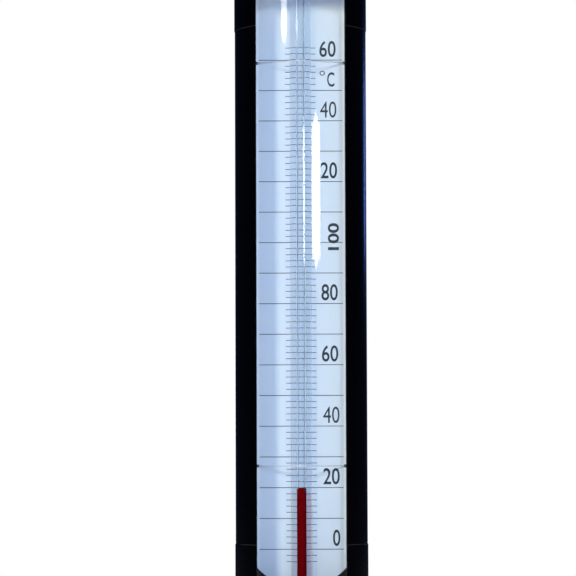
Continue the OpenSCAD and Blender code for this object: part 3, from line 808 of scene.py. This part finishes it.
class THERMOMETER_OT_column(bpy.types.Operator):
    """Fills the bore, the leg and the bulb with liquid"""
    bl_idname = "thermometer.column"
    bl_label = "Column"

    def execute(self, context):
        look = context.scene.thermometer_column
        red = liquid("red_liquid", look.tone)
        for name in ("bulb_liquid", "leg_thread"):
            paint(name, red)
        low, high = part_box("scale_thread")
        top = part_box("thread_head")[1].z
        middle = (low + high) / 2
        radius = look.radius / MM
        round_off = 0.14
        profile = [(0.0, low.z / MM), (radius, low.z / MM)]
        profile += [(radius, (low.z + (high.z - low.z) * share) / MM) for share in (0.2, 0.4, 0.6, 0.8, 1.0)]
        profile += [(radius, top / MM - round_off)]
        profile += [(radius - round_off * (1 - math.cos(a)), top / MM - round_off * (1 - math.sin(a)))
                    for a in (math.pi / 6, math.pi / 3, math.pi / 2)]
        profile += [(0.0, top / MM - 0.02)]
        bm = turned(profile, 48, closed=False)
        bmesh.ops.translate(bm, vec=(middle.x / MM, middle.y / MM, 0), verts=bm.verts)
        mesh = mesh_of(bm, "liquid_column")
        made = bpy.data.objects.new("liquid_column", mesh)
        context.scene.collection.objects.link(made)
        mesh.materials.append(red)
        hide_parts("scale_thread", "thread_head")
        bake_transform(made)
        return {"FINISHED"}


def hexagon():
    """The nipple's hexagon, its corners turned off at both ends."""
    corners, flat, back, front, turned_off = 15.588, 13.5, -14.5, -4.5, 1.205
    prism_back, prism_length = -16, 14
    prism = bmesh.new()
    bmesh.ops.create_circle(prism, cap_ends=True, radius=corners, segments=6)
    bmesh.ops.rotate(prism, cent=(0, 0, 0), matrix=Matrix.Rotation(math.pi / 6, 3, "Z"), verts=prism.verts)
    bmesh.ops.translate(prism, vec=(0, 0, prism_back), verts=prism.verts)
    raised = bmesh.ops.extrude_face_region(prism, geom=prism.faces[:])
    far_end = [v for v in raised["geom"] if isinstance(v, bmesh.types.BMVert)]
    bmesh.ops.translate(prism, vec=(0, 0, prism_length), verts=far_end)
    bmesh.ops.recalc_face_normals(prism, faces=prism.faces)
    blank = turned([(NIPPLE_BORE, back), (flat, back), (corners, back + turned_off),
                    (corners, front - turned_off), (flat, front), (NIPPLE_BORE, front)])
    return common(prism, blank)


def collar():
    """The collar that the washer sits on and the undercut in front of it, a little into its neighbours."""
    bore, radius, undercut, edge = NIPPLE_BORE + 0.01, 13.0, 9.078, 0.15
    back, front, end = -4.6, -1.5, 2.5
    return turned([(bore, back), (radius - edge, back), (radius, back + 0.2), (radius, front - edge),
                   (radius - edge, front), (undercut, front), (undercut, end), (bore, end)])


def pipe_thread(sizes):
    """The threaded end: a helical ridge cut to length and to the sleeve's form."""
    pitch, depth, steps = sizes.pitch / MM, sizes.depth / MM, sizes.turn_steps
    turns, turns_before = 10, 1.0
    start, end, run_out = 2.4, 14.0, 1.5
    counterbore, counterbore_foot = 7.8, 7.2
    flank = [(0, 0), (.07, .04), (.13, .16), (.37, .84), (.43, .96)]
    form = flank + [(.5, 1)] + [(1 - share, height) for share, height in reversed(flank)]
    rod = bmesh.new()
    points = [rod.verts.new((THREAD_CREST - depth * (1 - height), 0, pitch * (share - turns_before)))
              for share, height in form]
    edges = [rod.edges.new(pair) for pair in zip(points, points[1:])]
    bmesh.ops.spin(rod, geom=points + edges, cent=(0, 0, 0), axis=(0, 0, 1), dvec=(0, 0, pitch / steps),
                   angle=2 * math.pi * turns, steps=steps * turns, use_merge=False, use_duplicate=False)
    bmesh.ops.remove_doubles(rod, verts=rod.verts, dist=0.002)
    for height, way in ((start - 1.2, -1), (end + 1.2, 1)):
        bmesh.ops.bisect_plane(rod, geom=rod.verts[:] + rod.edges[:] + rod.faces[:], dist=1e-5,
                               plane_co=(0, 0, height), plane_no=(0, 0, way), clear_outer=True)
    bmesh.ops.holes_fill(rod, edges=[edge for edge in rod.edges if len(edge.link_faces) == 1], sides=0)
    bmesh.ops.recalc_face_normals(rod, faces=rod.faces)
    sleeve = turned([(NIPPLE_BORE, start), (THREAD_CREST, start), (THREAD_CREST, end - run_out),
                     (THREAD_CREST - run_out, end), (counterbore, end), (counterbore, counterbore_foot),
                     (NIPPLE_BORE, counterbore_foot)])
    return common(rod, sleeve)


class THERMOMETER_OT_nipple(bpy.types.Operator):
    """Cuts the pipe thread on the swivel nipple and finishes its washer"""
    bl_idname = "thermometer.nipple"
    bl_label = "Nipple"

    def execute(self, context):
        sizes = context.scene.thermometer_nipple
        brass = metal("turned_brass", (0.72, 0.53, 0.27), (0.52, 0.36, 0.17), 0.30, 700.0, (1.0, 6.0, 1.0))
        paint("swivel_nipple", brass)
        whole = along_stem(joined(eased(hexagon(), 0.12), collar(), pipe_thread(sizes)))
        piece("threaded_nipple", mesh_of(whole, "threaded_nipple"), "nipple", brass,
              ("swivel_nipple",))
        paint("sealing_washer", metal("soft_copper", (0.74, 0.42, 0.28), (0.50, 0.25, 0.15), 0.36, 600.0))
        return {"FINISHED"}


class THERMOMETER_OT_stem(bpy.types.Operator):
    """Finishes the carrier, the stem tube, its tip and its filling"""
    bl_idname = "thermometer.stem"
    bl_label = "Stem"

    def execute(self, context):
        paint("stem_carrier", metal("carrier_brass", (0.70, 0.51, 0.26), (0.50, 0.35, 0.17), 0.32, 700.0,
                                    (1.0, 6.0, 1.0)))
        steel = metal("stem_steel", (0.60, 0.60, 0.60), (0.47, 0.465, 0.46), 0.26, 900.0, (1.0, 7.0, 1.0))
        for name in ("stem_tube", "stem_tip"):
            paint(name, steel)
        filling = soft("grey_filling", (0.22, 0.21, 0.20), (0.36, 0.35, 0.34), 0.7, 1800.0, 0.00005)
        paint("heat_filling", filling)
        return {"FINISHED"}


class THERMOMETER_PT_panel(bpy.types.Panel):
    """Lists the thermometer's groups"""
    bl_label = "Angle thermometer"
    bl_idname = "THERMOMETER_PT_panel"
    bl_space_type = "VIEW_3D"
    bl_region_type = "UI"
    bl_category = "Thermometer"

    def draw(self, context):
        for operator in OPERATORS:
            self.layout.operator(operator.bl_idname)
        for group in ("thermometer_scale", "thermometer_column", "thermometer_nipple", "thermometer_studio"):
            values = getattr(context.scene, group)
            for name in values.bl_rna.properties.keys():
                if name not in ("rna_type", "name"):
                    self.layout.prop(values, name)


OPERATORS = (THERMOMETER_OT_case, THERMOMETER_OT_glass, THERMOMETER_OT_scale, THERMOMETER_OT_column,
             THERMOMETER_OT_nipple, THERMOMETER_OT_stem, THERMOMETER_OT_stage)
GROUPS = {"thermometer_scale": ScaleLook, "thermometer_column": ColumnLook, "thermometer_nipple": NippleSizes,
          "thermometer_studio": StudioLevels}


def register():
    for group in GROUPS.values():
        bpy.utils.register_class(group)
    for cls in (*OPERATORS, THERMOMETER_PT_panel):
        bpy.utils.register_class(cls)
    for name, group in GROUPS.items():
        setattr(bpy.types.Scene, name, PointerProperty(type=group))


def unregister():
    for name in GROUPS:
        delattr(bpy.types.Scene, name)
    for cls in (THERMOMETER_PT_panel, *reversed(OPERATORS), *GROUPS.values()):
        bpy.utils.unregister_class(cls)


def main():
    """Makes every group in order."""
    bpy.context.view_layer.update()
    register()
    for operator in OPERATORS:
        group, name = operator.bl_idname.split(".")
        getattr(getattr(bpy.ops, group), name)()


if __name__ == "__main__":
    main()
